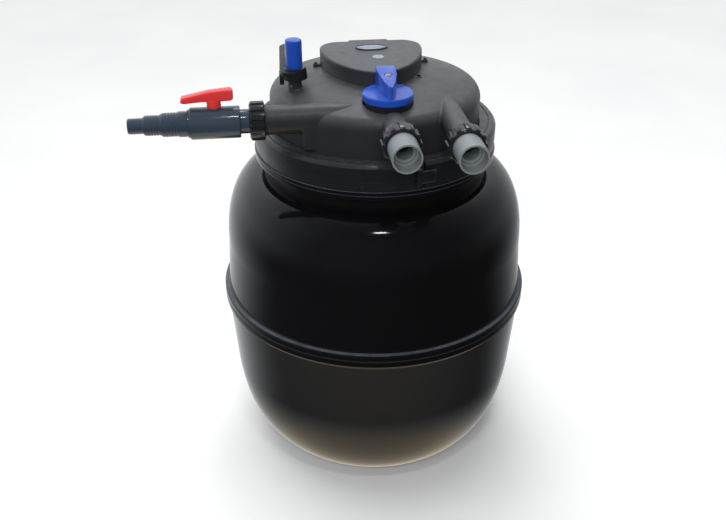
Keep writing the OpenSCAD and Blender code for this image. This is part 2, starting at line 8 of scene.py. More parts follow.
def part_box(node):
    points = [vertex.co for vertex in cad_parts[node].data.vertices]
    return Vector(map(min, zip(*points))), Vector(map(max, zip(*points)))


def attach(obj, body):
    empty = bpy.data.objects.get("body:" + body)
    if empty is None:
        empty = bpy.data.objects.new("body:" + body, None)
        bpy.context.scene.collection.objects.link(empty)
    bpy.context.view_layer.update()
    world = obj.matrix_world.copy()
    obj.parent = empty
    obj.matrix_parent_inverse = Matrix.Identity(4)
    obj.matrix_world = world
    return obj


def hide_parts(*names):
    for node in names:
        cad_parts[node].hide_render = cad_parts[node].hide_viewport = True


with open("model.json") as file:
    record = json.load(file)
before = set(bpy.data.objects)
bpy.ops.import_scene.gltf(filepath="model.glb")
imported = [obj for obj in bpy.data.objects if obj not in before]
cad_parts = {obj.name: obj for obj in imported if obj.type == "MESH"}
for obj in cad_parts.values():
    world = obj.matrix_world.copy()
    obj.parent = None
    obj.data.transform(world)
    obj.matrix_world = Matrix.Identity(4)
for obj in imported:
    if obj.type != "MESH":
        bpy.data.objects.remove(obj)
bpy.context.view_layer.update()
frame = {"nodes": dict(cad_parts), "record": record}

MM = 0.001
scene = bpy.context.scene
scene.view_settings.view_transform = "Standard"

# ---------------------------------------------------------------- camera
CAMERA_PLACE = (-0.1992, -1.4569, 1.2176)
CAMERA_AIM = (0.1048, 0.8534, -0.5105)
camera_data = bpy.data.cameras.new("camera")
camera_data.lens = 44.75
camera_data.sensor_width = 36.0
camera = bpy.data.objects.new("camera", camera_data)
scene.collection.objects.link(camera)
camera.location = CAMERA_PLACE
camera.rotation_mode = "QUATERNION"
camera.rotation_quaternion = Vector(CAMERA_AIM).to_track_quat("-Z", "Y")
scene.camera = camera


# ---------------------------------------------------------------- materials
def linear(rgb):
    """A colour of 0 to 255 values as the shader's linear colour."""
    return tuple(((c / 255 + 0.055) / 1.055) ** 2.4 if c > 10 else c / 255 / 12.92
                 for c in rgb) + (1.0,)


class Shader:
    """A Principled material with helpers for its procedural inputs."""

    def __init__(self, name):
        self.material = bpy.data.materials.new(name)
        self.material.use_nodes = True
        self.tree = self.material.node_tree
        self.bsdf = self.tree.nodes["Principled BSDF"]
        self.where = self.node("ShaderNodeTexCoord").outputs["Object"]

    def node(self, kind, **settings):
        made = self.tree.nodes.new(kind)
        for key, value in settings.items():
            setattr(made, key, value)
        return made

    def link(self, source, target):
        self.tree.links.new(source, target)

    def set(self, **values):
        for key, value in values.items():
            self.bsdf.inputs[key.replace("_", " ")].default_value = value

    def noise(self, scale, detail=3.0, rough=0.5, stretch=None):
        made = self.node("ShaderNodeTexNoise")
        made.inputs["Scale"].default_value = scale
        made.inputs["Detail"].default_value = detail
        made.inputs["Roughness"].default_value = rough
        if stretch:
            mapping = self.node("ShaderNodeMapping")
            mapping.inputs["Scale"].default_value = stretch
            self.link(self.where, mapping.inputs["Vector"])
            self.link(mapping.outputs[0], made.inputs["Vector"])
        else:
            self.link(self.where, made.inputs["Vector"])
        return made.outputs["Fac"]

    def span(self, value, low, high, source_low=0.3, source_high=0.7):
        made = self.node("ShaderNodeMapRange")
        for key, number in zip(("From Min", "From Max", "To Min", "To Max"),
                               (source_low, source_high, low, high)):
            made.inputs[key].default_value = number
        self.link(value, made.inputs["Value"])
        return made.outputs[0]

    def mix(self, factor, a, b, mode="MIX"):
        made = self.node("ShaderNodeMix", data_type="RGBA", blend_type=mode)
        for socket, value in ((made.inputs[0], factor), (made.inputs[6], a), (made.inputs[7], b)):
            if isinstance(value, bpy.types.NodeSocket):
                self.link(value, socket)
            else:
                socket.default_value = value
        return made.outputs[2]

    def bump(self, height, distance, strength=1.0, before=None):
        made = self.node("ShaderNodeBump")
        made.inputs["Strength"].default_value = strength
        made.inputs["Distance"].default_value = distance
        self.link(height, made.inputs["Height"])
        if before is not None:
            self.link(before, made.inputs["Normal"])
        return made.outputs[0]

    def times(self, a, b, operation="MULTIPLY"):
        made = self.node("ShaderNodeMath", operation=operation)
        self.link(a, made.inputs[0])
        self.link(b, made.inputs[1])
        return made

    def outside(self, low, high):
        """1 below one height and above another, 0 between them."""
        split = self.node("ShaderNodeSeparateXYZ")
        self.link(self.where, split.inputs[0])
        below = self.span(split.outputs["Z"], 1, 0, low - 0.01, low)
        above = self.span(split.outputs["Z"], 0, 1, high, high + 0.01)
        return self.times(below, above, "ADD").outputs[0]

    def facing_up(self):
        """1 on faces that look up, 0 on walls."""
        split = self.node("ShaderNodeSeparateXYZ")
        self.link(self.node("ShaderNodeNewGeometry").outputs["Normal"], split.inputs[0])
        return split.outputs["Z"]


def plastic(name, rgb, rough=0.4, spread=0.08, tint=0.12, grain=900.0, depth=0.00004, wave=0.0,
            dust_and_highlight=0.0, dust_and_highlight_rgb=(150, 152, 155), level=0.4, scuffs=0.0, coat=0.0, dust_and_highlight_from=0.25,
            unpainted_band=None):
    """Moulded plastic: mottled colour, uneven gloss, fine moulded grain, dust on what faces up; on
    the gloss tank that same mix is a painted highlight on its upward edges.
    """
    s = Shader(name)
    base = linear(rgb)
    low = tuple(c * (1 - tint) for c in base[:3]) + (1.0,)
    high = tuple(min(1.0, c * (1 + tint)) for c in base[:3]) + (1.0,)
    colour = s.mix(s.span(s.noise(14, 5, 0.6), 0, 1), low, high)
    gloss = s.span(s.noise(35, 6, 0.65), rough - spread, rough + spread)
    # Dust on what faces up; on the gloss tank this same mix is a painted highlight, a pale
    # blue-grey line on the belt's flange top and the lip's edges
    if dust_and_highlight:
        cover = s.node("ShaderNodeMath", operation="MULTIPLY")
        s.link(s.span(s.facing_up(), 0, dust_and_highlight, dust_and_highlight_from, 1.0), cover.inputs[0])
        s.link(s.span(s.noise(60, 8, 0.7), 0.45, 1.0), cover.inputs[1])
        # The painted highlight is left off between two heights
        if unpainted_band:
            cover = s.times(cover.outputs[0], s.outside(*unpainted_band))
        colour = s.mix(cover.outputs[0], colour, linear(dust_and_highlight_rgb))
    if scuffs:
        marks = s.span(s.noise(90, 9, 0.75, (1, 1, 6)), 0, scuffs, 0.58, 0.75)
        lighter = tuple(min(1.0, c * 1.6 + 0.02) for c in base[:3]) + (1.0,)
        colour = s.mix(marks, colour, lighter)
    s.link(colour, s.bsdf.inputs["Base Color"])
    s.link(gloss, s.bsdf.inputs["Roughness"])
    normal = s.bump(s.noise(grain, 2), depth)
    if wave:
        normal = s.bump(s.noise(7, 1), wave, 1.0, normal)
    s.link(normal, s.bsdf.inputs["Normal"])
    s.set(Specular_IOR_Level=level)
    if coat:
        s.set(Coat_Weight=coat, Coat_Roughness=0.08)
    return s.material


def metal(name, rgb, rough=0.25):
    """Turned stainless steel: fine brushing, small smears."""
    s = Shader(name)
    s.set(Metallic=1.0)
    base = linear(rgb)
    dark = tuple(c * 0.75 for c in base[:3]) + (1.0,)
    s.link(s.mix(s.span(s.noise(60, 6, 0.7), 0, 1), dark, base), s.bsdf.inputs["Base Color"])
    s.link(s.span(s.noise(300, 4, 0.6, (1, 1, 20)), rough - 0.08, rough + 0.12),
           s.bsdf.inputs["Roughness"])
    s.link(s.bump(s.noise(1200, 2), 0.00002), s.bsdf.inputs["Normal"])
    return s.material


def glass(name, rgb, rough=0.05, weight=0.95):
    s = Shader(name)
    s.set(Base_Color=linear(rgb), Transmission_Weight=weight, IOR=1.47)
    s.link(s.span(s.noise(40, 4), rough, rough + 0.08), s.bsdf.inputs["Roughness"])
    return s.material


def foam(name, rgb):
    """Open-cell filter foam: cells as pits, painted darker in their hollows as shade."""
    s = Shader(name)
    cells = s.node("ShaderNodeTexVoronoi", feature="F1")
    cells.inputs["Scale"].default_value = 420
    s.link(s.where, cells.inputs["Vector"])
    base = linear(rgb)
    # Painted shade: each cell is darker towards its middle, where its pit is deepest
    dark = tuple(c * 0.35 for c in base[:3]) + (1.0,)
    s.link(s.mix(s.span(cells.outputs["Distance"], 0, 1, 0.1, 0.7), dark, base),
           s.bsdf.inputs["Base Color"])
    s.link(s.span(s.noise(50, 4), 0.85, 1.0), s.bsdf.inputs["Roughness"])
    s.link(s.bump(cells.outputs["Distance"], 0.0012), s.bsdf.inputs["Normal"])
    s.set(Specular_IOR_Level=0.15, Sheen_Weight=0.2)
    return s.material


# Heights between which the tank carries no painted highlight, which would draw a band on the
# shoulder there
TANK_UNPAINTED_BAND = (0.345, 0.56)
MATERIALS = {
    # On the gloss tank the dust mix is a painted highlight: a pale blue-grey line on the upward
    # edges of the belt flange and the lip, in place of their glints
    "tank_black": plastic("gloss_tank", (13, 13, 15), 0.09, 0.03, 0.1, 700, 0.000008, 0.0004,
                          0.55, (120, 126, 142), level=0.3, dust_and_highlight_from=0.72, unpainted_band=TANK_UNPAINTED_BAND),
    "ring_black": plastic("ring_plastic", (26, 27, 31), 0.3, 0.07, 0.12, 1100, 0.00003, 0.0,
                          0.12, level=0.4, scuffs=0.1),
    "head_black": plastic("head_plastic", (42, 44, 47), 0.43, 0.07, 0.12, 1500, 0.00006, 0.0,
                          0.16, level=0.4, scuffs=0.12),
    "cover_black": plastic("cover_plastic", (44, 47, 52), 0.46, 0.06, 0.1, 1500, 0.00005, 0.0,
                           0.22, level=0.45, scuffs=0.08),
    "nut_black": plastic("nut_plastic", (26, 27, 30), 0.2, 0.06, 0.1, 1200, 0.00002, 0.0,
                         0.05, level=0.5),
    "blue_plastic": plastic("blue_plastic", (31, 77, 180), 0.2, 0.05, 0.08, 1000, 0.00003, 0.0,
                            0.05, (130, 150, 210), level=0.5),
    "red_plastic": plastic("red_plastic", (226, 60, 62), 0.25, 0.06, 0.07, 1000, 0.00002, 0.0,
                           0.06, (225, 160, 160), level=0.5),
    "socket_grey": plastic("socket_grey", (120, 126, 129), 0.42, 0.07, 0.05, 900, 0.00003, 0.0,
                           0.04, (190, 192, 194), level=0.45, scuffs=0.08),
    "valve_slate": plastic("slate_plastic", (54, 66, 80), 0.15, 0.04, 0.07, 1000, 0.00002, 0.0,
                           0.05, level=0.5),
    "badge_blue": plastic("badge_blue", (100, 116, 150), 0.2, 0.04, 0.06, 800, 0.00001, 0.0,
                          0.1, (190, 200, 220), level=0.5, coat=0.6),
    "lens_clear": plastic("lens_clear", (118, 126, 131), 0.12, 0.03, 0.05, 500, 0.00001, 0.0,
                          0.05, level=0.6, coat=0.8),
    "steel": metal("steel", (214, 216, 220), 0.4),
    "rubber_black": plastic("rubber", (20, 20, 20), 0.7, 0.08, 0.15, 1400, 0.00005, level=0.3),
    "lamp_white": plastic("lamp_ceramic", (222, 222, 216), 0.4, 0.05, 0.04, 800, 0.00002),
    "lamp_glass": glass("lamp_glass", (225, 232, 240), 0.03, 0.8),
    "quartz": glass("quartz", (236, 244, 248)),
    "white_plastic": plastic("white_plastic", (214, 214, 206), 0.4, 0.06, 0.05, 900, 0.00003),
    "inner_black": plastic("inner_plastic", (38, 39, 42), 0.5, 0.08, 0.12, 1000, 0.00004),
    "foam_blue": foam("foam_blue", (38, 66, 130)),
    "foam_black": foam("foam_black", (40, 40, 42)),
    "bio_blue": plastic("bio_plastic", (60, 90, 130), 0.45, 0.08, 0.12, 300, 0.0003),
    "ballast_steel": metal("ballast_case", (180, 182, 180), 0.4),
}

SLOT_OF = {part["node"]: part["material_slot"] for part in frame["record"]["subparts"]}
for node, obj in frame["nodes"].items():
    obj.data.materials.clear()
    obj.data.materials.append(MATERIALS[SLOT_OF[node]])
BODY_OF = {node: body for body, members in frame["record"]["behaviour"]["bodies"].items()
           for node in members}


# ---------------------------------------------------------------- mesh helpers (millimetres)
def lathe(profile, steps=160, closed=True):
    """Vertices and faces of a profile of (r, z) points turned round Z; axis points are poles."""
    vertices, rows, faces = [], [], []
    for r, z in profile:
        if r < 1e-6:
            vertices.append((0, 0, z))
            rows.append([len(vertices) - 1] * steps)
        else:
            rows.append(list(range(len(vertices), len(vertices) + steps)))
            vertices += [(r * math.cos(2 * math.pi * i / steps),
                          r * math.sin(2 * math.pi * i / steps), z) for i in range(steps)]
    pairs = list(zip(rows, rows[1:])) + ([(rows[-1], rows[0])] if closed else [])
    for a, b in pairs:
        for i in range(steps):
            j = (i + 1) % steps
            corners = [a[i], a[j], b[j], b[i]]
            face = [v for k, v in enumerate(corners) if v != corners[k - 1]]
            if len(face) > 2:
                faces.append(face)
    return vertices, faces


def soften(points, radius=0.8, steps=3, closed=True, turn=12):
    """Rounds the corners of a profile or outline that turn by more than so many degrees."""
    made, count = [], len(points)
    for i, point in enumerate(points):
        here = Vector(point)
        if not closed and i in (0, count - 1):
            made.append(tuple(here))
            continue
        before, after = Vector(points[i - 1]) - here, Vector(points[(i + 1) % count]) - here
        if before.length < 1e-6 or after.length < 1e-6:
            made.append(tuple(here))
            continue
        angle = before.angle(after)
        if math.degrees(math.pi - angle) < turn:
            made.append(tuple(here))
            continue
        cut = min(radius / math.tan(angle / 2), before.length * 0.45, after.length * 0.45)
        a, b = here + before.normalized() * cut, here + after.normalized() * cut
        for k in range(steps + 1):
            t = k / steps
            made.append(tuple(a * (1 - t) ** 2 + here * 2 * t * (1 - t) + b * t ** 2))
    return made


def stack(rings, capped=True):
    """Vertices and faces of a pile of rings of points, each with the same number of points."""
    steps = len(rings[0])
    vertices = [tuple(p) for ring in rings for p in ring]
    faces = []
    for level in range(len(rings) - 1):
        for i in range(steps):
            j = (i + 1) % steps
            a, b = level * steps, (level + 1) * steps
            faces.append([a + i, a + j, b + j, b + i])
    if capped:
        faces.append(list(range(steps))[::-1])
        faces.append([(len(rings) - 1) * steps + i for i in range(steps)])
    return vertices, faces


def moved(made, matrix):
    vertices, faces = made
    return [tuple(matrix @ Vector(v)) for v in vertices], faces


def joined(*parts):
    vertices, faces = [], []
    for part_vertices, part_faces in parts:
        faces += [[v + len(vertices) for v in face] for face in part_faces]
        vertices += part_vertices
    return vertices, faces


def hollowed(made, tool):
    """A closed shape with another cut out of it."""
    pair = []
    for vertices, faces in (made, tool):
        mesh = bpy.data.meshes.new("cut_temporary")
        mesh.from_pydata([tuple(v) for v in vertices], [], faces)
        work = bmesh.new()
        work.from_mesh(mesh)
        bmesh.ops.recalc_face_normals(work, faces=work.faces)
        work.to_mesh(mesh)
        work.free()
        obj = bpy.data.objects.new("cut_temporary", mesh)
        scene.collection.objects.link(obj)
        pair.append(obj)
    cut = pair[0].modifiers.new("cut", "BOOLEAN")
    cut.operation = "DIFFERENCE"
    cut.solver = "EXACT"
    cut.object = pair[1]
    mesh = bpy.data.meshes.new_from_object(
        pair[0].evaluated_get(bpy.context.evaluated_depsgraph_get()))
    for obj in pair:
        bpy.data.objects.remove(obj)
    return [tuple(v.co) for v in mesh.vertices], [list(f.vertices) for f in mesh.polygons]


def spin(axis, degrees):
    return Matrix.Rotation(math.radians(degrees), 4, axis)


def shift(x, y, z):
    return Matrix.Translation((x, y, z))


def piece(name, made, node, sharp=32.0, slot=None):
    """A finished piece from vertices and faces in millimetres, in place of a CAD node."""
    vertices, faces = made
    mesh = bpy.data.meshes.new(name)
    mesh.from_pydata([(x * MM, y * MM, z * MM) for x, y, z in vertices], [], faces)
    return dress(mesh, name, node, sharp, slot)


def dress(mesh, name, node, sharp=32.0, slot=None):
    """A mesh in metres, cleaned, shaded and riding in place of a CAD node."""
    work = bmesh.new()
    work.from_mesh(mesh)
    bmesh.ops.remove_doubles(work, verts=work.verts, dist=1e-6)
    bmesh.ops.dissolve_degenerate(work, edges=work.edges, dist=1e-6)
    bmesh.ops.recalc_face_normals(work, faces=work.faces)
    work.to_mesh(mesh)
    work.free()
    mesh.polygons.foreach_set("use_smooth", [True] * len(mesh.polygons))
    mesh.set_sharp_from_angle(angle=math.radians(sharp))
    obj = bpy.data.objects.new(name, mesh)
    scene.collection.objects.link(obj)
    slot = slot or SLOT_OF[node]
    mesh.materials.clear()
    mesh.materials.append(MATERIALS[slot])
    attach(obj, BODY_OF[node])
    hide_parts(node)
    return obj


def refined(node, bevel):
    """A CAD node's shape with its coplanar triangles merged and its edges rounded."""
    mesh = frame["nodes"][node].data.copy()
    work = bmesh.new()
    work.from_mesh(mesh)
    bmesh.ops.remove_doubles(work, verts=work.verts, dist=1e-6)
    bmesh.ops.dissolve_limit(work, angle_limit=math.radians(0.6),
                             verts=work.verts, edges=work.edges)
    work.to_mesh(mesh)
    work.free()
    obj = dress(mesh, node + "_piece", node)
    rounding = obj.modifiers.new("rounded_edges", "BEVEL")
    rounding.width = bevel * MM
    rounding.segments = 3
    rounding.limit_method = "ANGLE"
    rounding.angle_limit = math.radians(30)
    rounding.use_clamp_overlap = False
    rounding.harden_normals = True


# ---------------------------------------------------------------- tank
TANK_R, BASE_R, BOWL_H, BELT_Z, BELT_R, WALL = 266, 167, 173.5, 313.5, 280, 5
SHOULDER_Z, NECK_Z, NECK_R, FLOOR_Z, MOUTH_Z = 416, 546.5, 195, 6, 608


def bowl(r0, r1, z0, z1, steps=44):
    return [(r0 + (r1 - r0) * math.sin(math.pi / 2 * i / steps),
             z0 + (z1 - z0) * (1 - math.cos(math.pi / 2 * i / steps))) for i in range(steps + 1)]


def shoulder(r0, r1, z0, z1, steps=56):
    power = 2 / 2.22
    points = []
    for i in range(steps + 1):
        a = math.pi / 2 * i / steps
        points.append((r1 + (r0 - r1) * max(0, math.cos(a)) ** power,
                       z0 + (z1 - z0) * max(0, math.sin(a)) ** power))
    return points


# The rounded bottom runs on from the slightly conical wall without a change of slope
WALL_SLOPE = (274.4 - TANK_R) / (BELT_Z - 17 - BOWL_H)
outer_bowl = [(r - WALL_SLOPE * (BOWL_H - z) * (z / BOWL_H) ** 2, z)
              for r, z in bowl(BASE_R, TANK_R, 0, BOWL_H)]
lower_profile = ([(0, 0)] + outer_bowl
                 + soften([(TANK_R, BOWL_H), (274.4, BELT_Z - 17), (275.6, BELT_Z - 15.5),
                           (BELT_R - 1.6, BELT_Z - 12.5), (BELT_R, BELT_Z - 10),
                           (BELT_R, BELT_Z - 1.4), (BELT_R - 1.4, BELT_Z),
                           (TANK_R - WALL, BELT_Z)], 1.2, 3, False)[1:]
                 + [(TANK_R - WALL, BELT_Z - 15.5)]
                 + bowl(BASE_R - 4, TANK_R - WALL, FLOOR_Z, BOWL_H)[::-1] + [(0, FLOOR_Z)])
piece("tank_lower", lathe(lower_profile, 256, False), "tank_lower_shell", sharp=50)

upper_profile = (soften([(TANK_R - WALL, BELT_Z), (BELT_R - 1.4, BELT_Z), (BELT_R, BELT_Z + 1.4),
                         (BELT_R, BELT_Z + 9), (BELT_R - 1.6, BELT_Z + 12), (273, BELT_Z + 13.5),
                         (271, BELT_Z + 15.5), (TANK_R, SHOULDER_Z - 2)], 1.2, 3, False)
                 + shoulder(TANK_R, NECK_R, SHOULDER_Z, NECK_Z)
                 + soften([(NECK_R, NECK_Z + 2), (NECK_R, 576), (208.6, 576), (208.6, 581.8),
                           (206.4, 582.6), (206.4, 583.4), (209.3, 584), (209.3, 589.3),
                           (197, 589.3),
                           (197, 594), (200.5, 594), (200.5, MOUTH_Z), (198, MOUTH_Z),
                           (198, MOUTH_Z - 4.2), (191.6, MOUTH_Z - 4.2), (191.6, MOUTH_Z),
                           (NECK_R - 6, MOUTH_Z)], 0.7, 3, False)
                 + shoulder(TANK_R - WALL, NECK_R - 6, SHOULDER_Z, NECK_Z - 5)[::-1])
piece("tank_upper", lathe(upper_profile, 256), "tank_upper_shell", sharp=50)

# ---------------------------------------------------------------- clamp ring
LOW, HIGH, CLAMP_R = 590, 634, 208
LATCH_TURN = -75.6
ring_profile = soften([(198, LOW), (CLAMP_R - 0.7, LOW), (CLAMP_R - 0.7, 605.5),
                       (CLAMP_R, 606.5), (CLAMP_R, HIGH - 5), (CLAMP_R - 4, HIGH),
                       (196.4, HIGH), (196.4, HIGH - 1.6), (194.6, HIGH - 1.6),
                       (194.6, HIGH - 0.3), (180.2, HIGH - 0.3), (180.2, HIGH - 4.5),
                       (202, HIGH - 4.5), (202, 593.6), (198, 593.6)], 0.7, 3)


def partial_lathe(profile, start, end, steps):
    """A profile turned part of the way round Z, closed at both ends."""
    rings = [[(r * math.cos(math.radians(start + (end - start) * i / steps)),
               r * math.sin(math.radians(start + (end - start) * i / steps)), z)
              for r, z in profile] for i in range(steps + 1)]
    return stack(rings)


def block(x0, x1, y0, y1, z0, z1, rounding=1.0):
    """A box with rounded upright edges and softened ends."""
    def outline(inset, z):
        corners = [(x0 + inset, y0 + inset), (x1 - inset, y0 + inset),
                   (x1 - inset, y1 - inset), (x0 + inset, y1 - inset)]
        return [(x, y, z) for x, y in soften(corners, rounding, 3)]
    edge = min(0.6, (z1 - z0) / 4, (x1 - x0) / 4, (y1 - y0) / 4)
    return stack([outline(edge, z0), outline(edge * 0.3, z0 + edge * 0.3), outline(0, z0 + edge),
                  outline(0, z1 - edge), outline(edge * 0.3, z1 - edge * 0.3), outline(edge, z1)])


gap = math.degrees(1.5 / 200)
latch_side = spin("Z", LATCH_TURN)
piece("clamp_ring_moulding", joined(
    partial_lathe(ring_profile, LATCH_TURN + gap, LATCH_TURN + 360 - gap, 280),
    moved(block(CLAMP_R - 3, CLAMP_R + 8, -15.5, -6.5, 597, 601), latch_side),
    moved(block(CLAMP_R - 3, CLAMP_R + 8, -15.5, -6.5, 623, 627), latch_side),
    moved(block(CLAMP_R - 3, CLAMP_R + 2, 6, 13, 606, 618), latch_side),
    moved(lathe([(0, 0), (2.6, 0), (2.4, 1.0), (1.4, 1.6), (0, 1.8)], 24, False),
          spin("Z", 257.2) @ shift(CLAMP_R - 1.0, 0, 598) @ spin("Y", 90))), "clamp_ring")
piece("latch_lever", joined(
    moved(lathe(soften([(1.65, 601.4), (3.6, 601.4), (3.6, 622.6), (1.65, 622.6)], 0.5), 32),
          latch_side @ shift(CLAMP_R + 4, -11, 0)),
    moved(block(CLAMP_R + 2.6, CLAMP_R + 6.8, -8, 18, 601.4, 622.6, 1.4), latch_side),
    moved(block(CLAMP_R + 6, CLAMP_R + 7.6, 11, 16.5, 603.5, 620.5, 0.7), latch_side),
    moved(block(CLAMP_R + 1, CLAMP_R + 4, 17, 19, 604, 620, 0.6), latch_side)), "clamp_latch")

# ---------------------------------------------------------------- filter head
HEAD_R, EDGE_R, EDGE_TURN, DOME_Z, FOOT_Z = 179, 22, 70, 714, 629
EDGE_Z = FOOT_Z + 47
EDGE_IN = HEAD_R - EDGE_R + EDGE_R * math.cos(math.radians(EDGE_TURN))
EDGE_TOP = EDGE_Z + EDGE_R * math.sin(math.radians(EDGE_TURN))


def dome(r):
    """Height of the head's top surface at a radius."""
    if r < EDGE_IN:
        return DOME_Z + (EDGE_TOP - DOME_Z) * (r / EDGE_IN) ** 3
    return EDGE_Z + math.sqrt(max(0.0, EDGE_R ** 2 - (r - HEAD_R + EDGE_R) ** 2))


def moulded_head():
    """The head's CAD shape, remeshed so that its ribs and pipes run into the dome with soft
    fillets, then laid exactly on the smooth dome, edge and wall."""
    mesh = frame["nodes"]["filter_head"].data.copy()
    work = bmesh.new()
    work.from_mesh(mesh)
    bmesh.ops.remove_doubles(work, verts=work.verts, dist=1e-6)
    work.to_mesh(mesh)
    work.free()
    mesh.materials.clear()
    temporary = bpy.data.objects.new("head_temporary", mesh)
    scene.collection.objects.link(temporary)
    voxels = temporary.modifiers.new("voxels", "REMESH")
    voxels.mode = "VOXEL"
    voxels.voxel_size = 1.7 * MM
    settle = temporary.modifiers.new("settle", "SMOOTH")
    settle.factor = 0.5
    settle.iterations = 5
    made = bpy.data.meshes.new_from_object(
        temporary.evaluated_get(bpy.context.evaluated_depsgraph_get()))
    bpy.data.objects.remove(temporary)
    for vertex in made.vertices:
        x, y, z = (c / MM for c in vertex.co)
        r = math.hypot(x, y)
        if 1 < r <= EDGE_IN + 4 and abs(z - dome(r)) < 0.8:
            z = dome(r)
        elif EDGE_IN < r < HEAD_R + 1 and z > EDGE_Z:
            dx, dz = r - (HEAD_R - EDGE_R), z - EDGE_Z
            out = math.hypot(dx, dz)
            if abs(out - EDGE_R) < 0.8:
                z = EDGE_Z + dz * EDGE_R / out
                new_r = HEAD_R - EDGE_R + dx * EDGE_R / out
                x, y = x * new_r / r, y * new_r / r
        elif FOOT_Z + 3 < z <= EDGE_Z and abs(r - HEAD_R) < 0.8:
            x, y = x * HEAD_R / r, y * HEAD_R / r
        vertex.co = (x * MM, y * MM, z * MM)
    return made


dress(moulded_head(), "head_moulding", "filter_head", sharp=60)

# ---------------------------------------------------------------- UV cover
COVER_W, COVER_Z, COVER_CORNER = 88, 740, 34
COVER_POWER = 1.11      # how squarely the shield's sides turn into its tip
EAR_PLACES = ((96, 56), (-96, 56), (70, -30))
EAR_R, EAR_LOW, EAR_HIGH = 4.8, 700, 713.4


def cover_outline(inset, count=240):
    """Even points round the cover's rounded shield, moved in by inset."""
    points = []
    for i in range(9):
        a = math.pi / 2 * (8 - i) / 8
        points.append((COVER_W - COVER_CORNER + (COVER_CORNER - inset) * math.cos(a),
                       60 + (COVER_CORNER - inset) * math.sin(a)))
    half = [((COVER_W - inset) * max(0, math.cos(math.pi / 2 * i / 40)) ** COVER_POWER,
             59 - (134 - inset) * max(0, math.sin(math.pi / 2 * i / 40)) ** COVER_POWER)
            for i in range(41)]
    points += half + [(-x, y) for x, y in half[::-1][1:]]
    for i in range(9):
        a = math.pi / 2 * i / 8
        points.append((-(COVER_W - COVER_CORNER + (COVER_CORNER - inset) * math.cos(a)),
                       60 + (COVER_CORNER - inset) * math.sin(a)))
    points += [(-37, 94 - inset), (-33 + inset / 2, 101 - inset),
               (33 - inset / 2, 101 - inset), (37, 94 - inset)]
    kept = [p for i, p in enumerate(points) if math.dist(p, points[i - 1]) > 1e-4]
    lengths = [0.0]
    for i in range(1, len(kept) + 1):
        lengths.append(lengths[-1] + math.dist(kept[i % len(kept)], kept[i - 1]))
    even, k = [], 0
    for i in range(count):
        want = lengths[-1] * i / count
        while lengths[k + 1] < want:
            k += 1
        t = (want - lengths[k]) / (lengths[k + 1] - lengths[k])
        a, b = kept[k], kept[(k + 1) % len(kept)]
        even.append((a[0] + (b[0] - a[0]) * t, a[1] + (b[1] - a[1]) * t))
    return even


def inward(points, depth):
    """The outline moved in along its own normals by depth(i)."""
    made = []
    for i, p in enumerate(points):
        a, b = points[i - 1], points[(i + 1) % len(points)]
        tangent = Vector((b[0] - a[0], b[1] - a[1])).normalized()
        normal = Vector((-tangent.y, tangent.x))
        if normal.dot(Vector((0 - p[0], 30 - p[1]))) < 0:
            normal = -normal
        d = depth(i)
        made.append((p[0] + normal.x * d, p[1] + normal.y * d))
    return made


def uv_cover():
    count = 720
    base = cover_outline(0, count)

    def flute(i):
        return 0.45 * (0.5 - 0.5 * math.cos(2 * math.pi * i / 6)) if base[i][1] < 70 else 0.0

    def ring(depth, z):
        return [(x, y, z) for x, y in inward(base, depth)]

    def foot(depth, lift):
        return [(x, y, min(dome(math.hypot(x, y)), 720) + lift) for x, y in inward(base, depth)]

    rings = [foot(lambda i: 3.0, -0.6), foot(lambda i: 0.0, -0.6), foot(lambda i: 0.0, 2.5),
             foot(flute, 3.5), ring(flute, COVER_Z - 7.5), ring(lambda i: 0.0, COVER_Z - 6.5)]
    for k in range(7):
        a = math.pi / 2 * k / 6
        rings.append(ring(lambda i, a=a: 3.2 * (1 - math.cos(a)),
                          COVER_Z - 4.2 + 3.2 * math.sin(a)))
    for inset, drop in ((8, 0.85), (20, 0.6), (34, 0.35), (50, 0.15)):
        rings.append([(x, y, COVER_Z - drop) for x, y in cover_outline(inset, count)]
                     if inset < 34 else
                     [(x * (1 - inset / 90), 20 + (y - 20) * (1 - inset / 90), COVER_Z - drop)
                      for x, y in base])
    vertices, faces = stack(rings, False)
    top = len(vertices)
    vertices.append((0, 20, COVER_Z))
    last = (len(rings) - 1) * count
    faces += [[last + i, last + (i + 1) % count, top] for i in range(count)]
    inside = [foot(lambda i: 3.0, -0.6), ring(lambda i: 3.0, COVER_Z - 4.2)]
    inner_vertices, inner_faces = stack(inside, False)
    inner_vertices.append((0, 20, COVER_Z - 4.0))
    inner_faces += [[count + i, count + (i + 1) % count, 2 * count] for i in range(count)]
    ears = []
    ear = soften([(1.9, EAR_LOW), (EAR_R, EAR_LOW), (EAR_R, EAR_HIGH), (1.9, EAR_HIGH)], 0.8)
    for x, y in EAR_PLACES:
        ears.append(moved(lathe(ear, 40), shift(x, y, 0)))
        turn = 0 if x > 0 else 180
        ears.append(moved(block(-16, -3, -EAR_R, EAR_R, EAR_LOW, EAR_HIGH, 1.0),
                          shift(x, y, 0) @ spin("Z", turn)))
    return joined((vertices, faces), (inner_vertices, inner_faces), *ears)


piece("uv_cover_moulding", uv_cover(), "uv_cover", sharp=40)

# ---------------------------------------------------------------- pipes, nuts and sockets
PORT_Z, PIPE_Y = 683, 118.5
NUT_R, INLET_NUT_LEN, PORT_NUT_LEN, NUT_BORE, RIBS = 30, 24.4, 33, 24.95, 12
ALONG_Y = spin("X", 90)      # turns +Z to -Y
ALONG_X = spin("Y", -90)     # turns +Z to -X
VALVE_AXIS = shift(-267, -PIPE_Y, 0)


